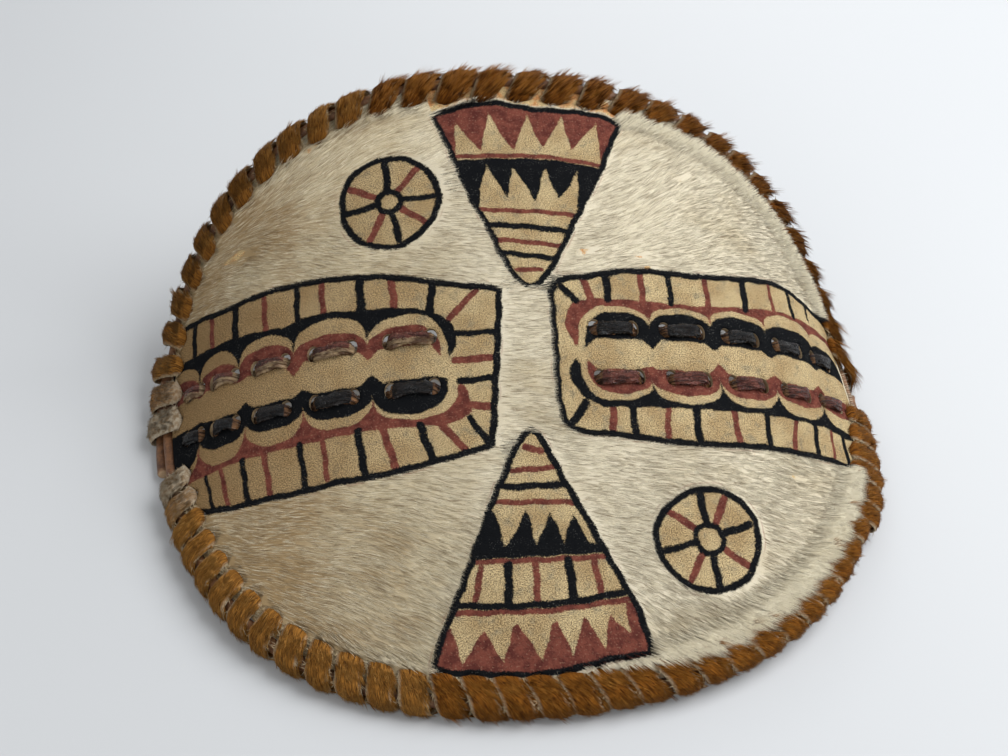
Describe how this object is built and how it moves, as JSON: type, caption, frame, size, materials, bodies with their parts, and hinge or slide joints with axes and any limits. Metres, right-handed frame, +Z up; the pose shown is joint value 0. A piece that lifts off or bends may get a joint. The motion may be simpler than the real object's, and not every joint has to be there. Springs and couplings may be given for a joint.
{
  "type": "hide shield",
  "caption": "Small bent hide shield with a hoop of rods laced on with hair-on hide strips, threaded thongs and painted patterns in black, maroon and tan.",
  "frame": {"origin": "middle of the footprint, on the surface that the shield lies on", "axes": "+X along the shield's long way, to the right as seen over the painted front; +Y towards the raised edge; +Z up"},
  "size_m": [0.4102, 0.3316, 0.1646],
  "materials": {
    "painted_hide": "short cream hair with painted patterns on clipped tan hair, bare flesh side behind",
    "peeled_rod": "peeled and smoke-darkened rod",
    "golden_hair_strip": "hide strip with golden-brown hair left on",
    "red_brown_hair_strip": "hide strip with red-brown hair left on",
    "twisted_thong": "rolled rawhide thong, painted over where it crosses the front"
  },
  "bodies": {
    "root": {"hide": "painted_hide", "upper_rod": "peeled_rod", "lower_rod": "peeled_rod", "lacing_upper_left": "golden_hair_strip", "lacing_lower_left": "golden_hair_strip", "lacing_upper_right": "red_brown_hair_strip", "lacing_lower_right": "red_brown_hair_strip", "upper_thong": "twisted_thong", "lower_thong": "twisted_thong"}
  },
  "joints": []
}
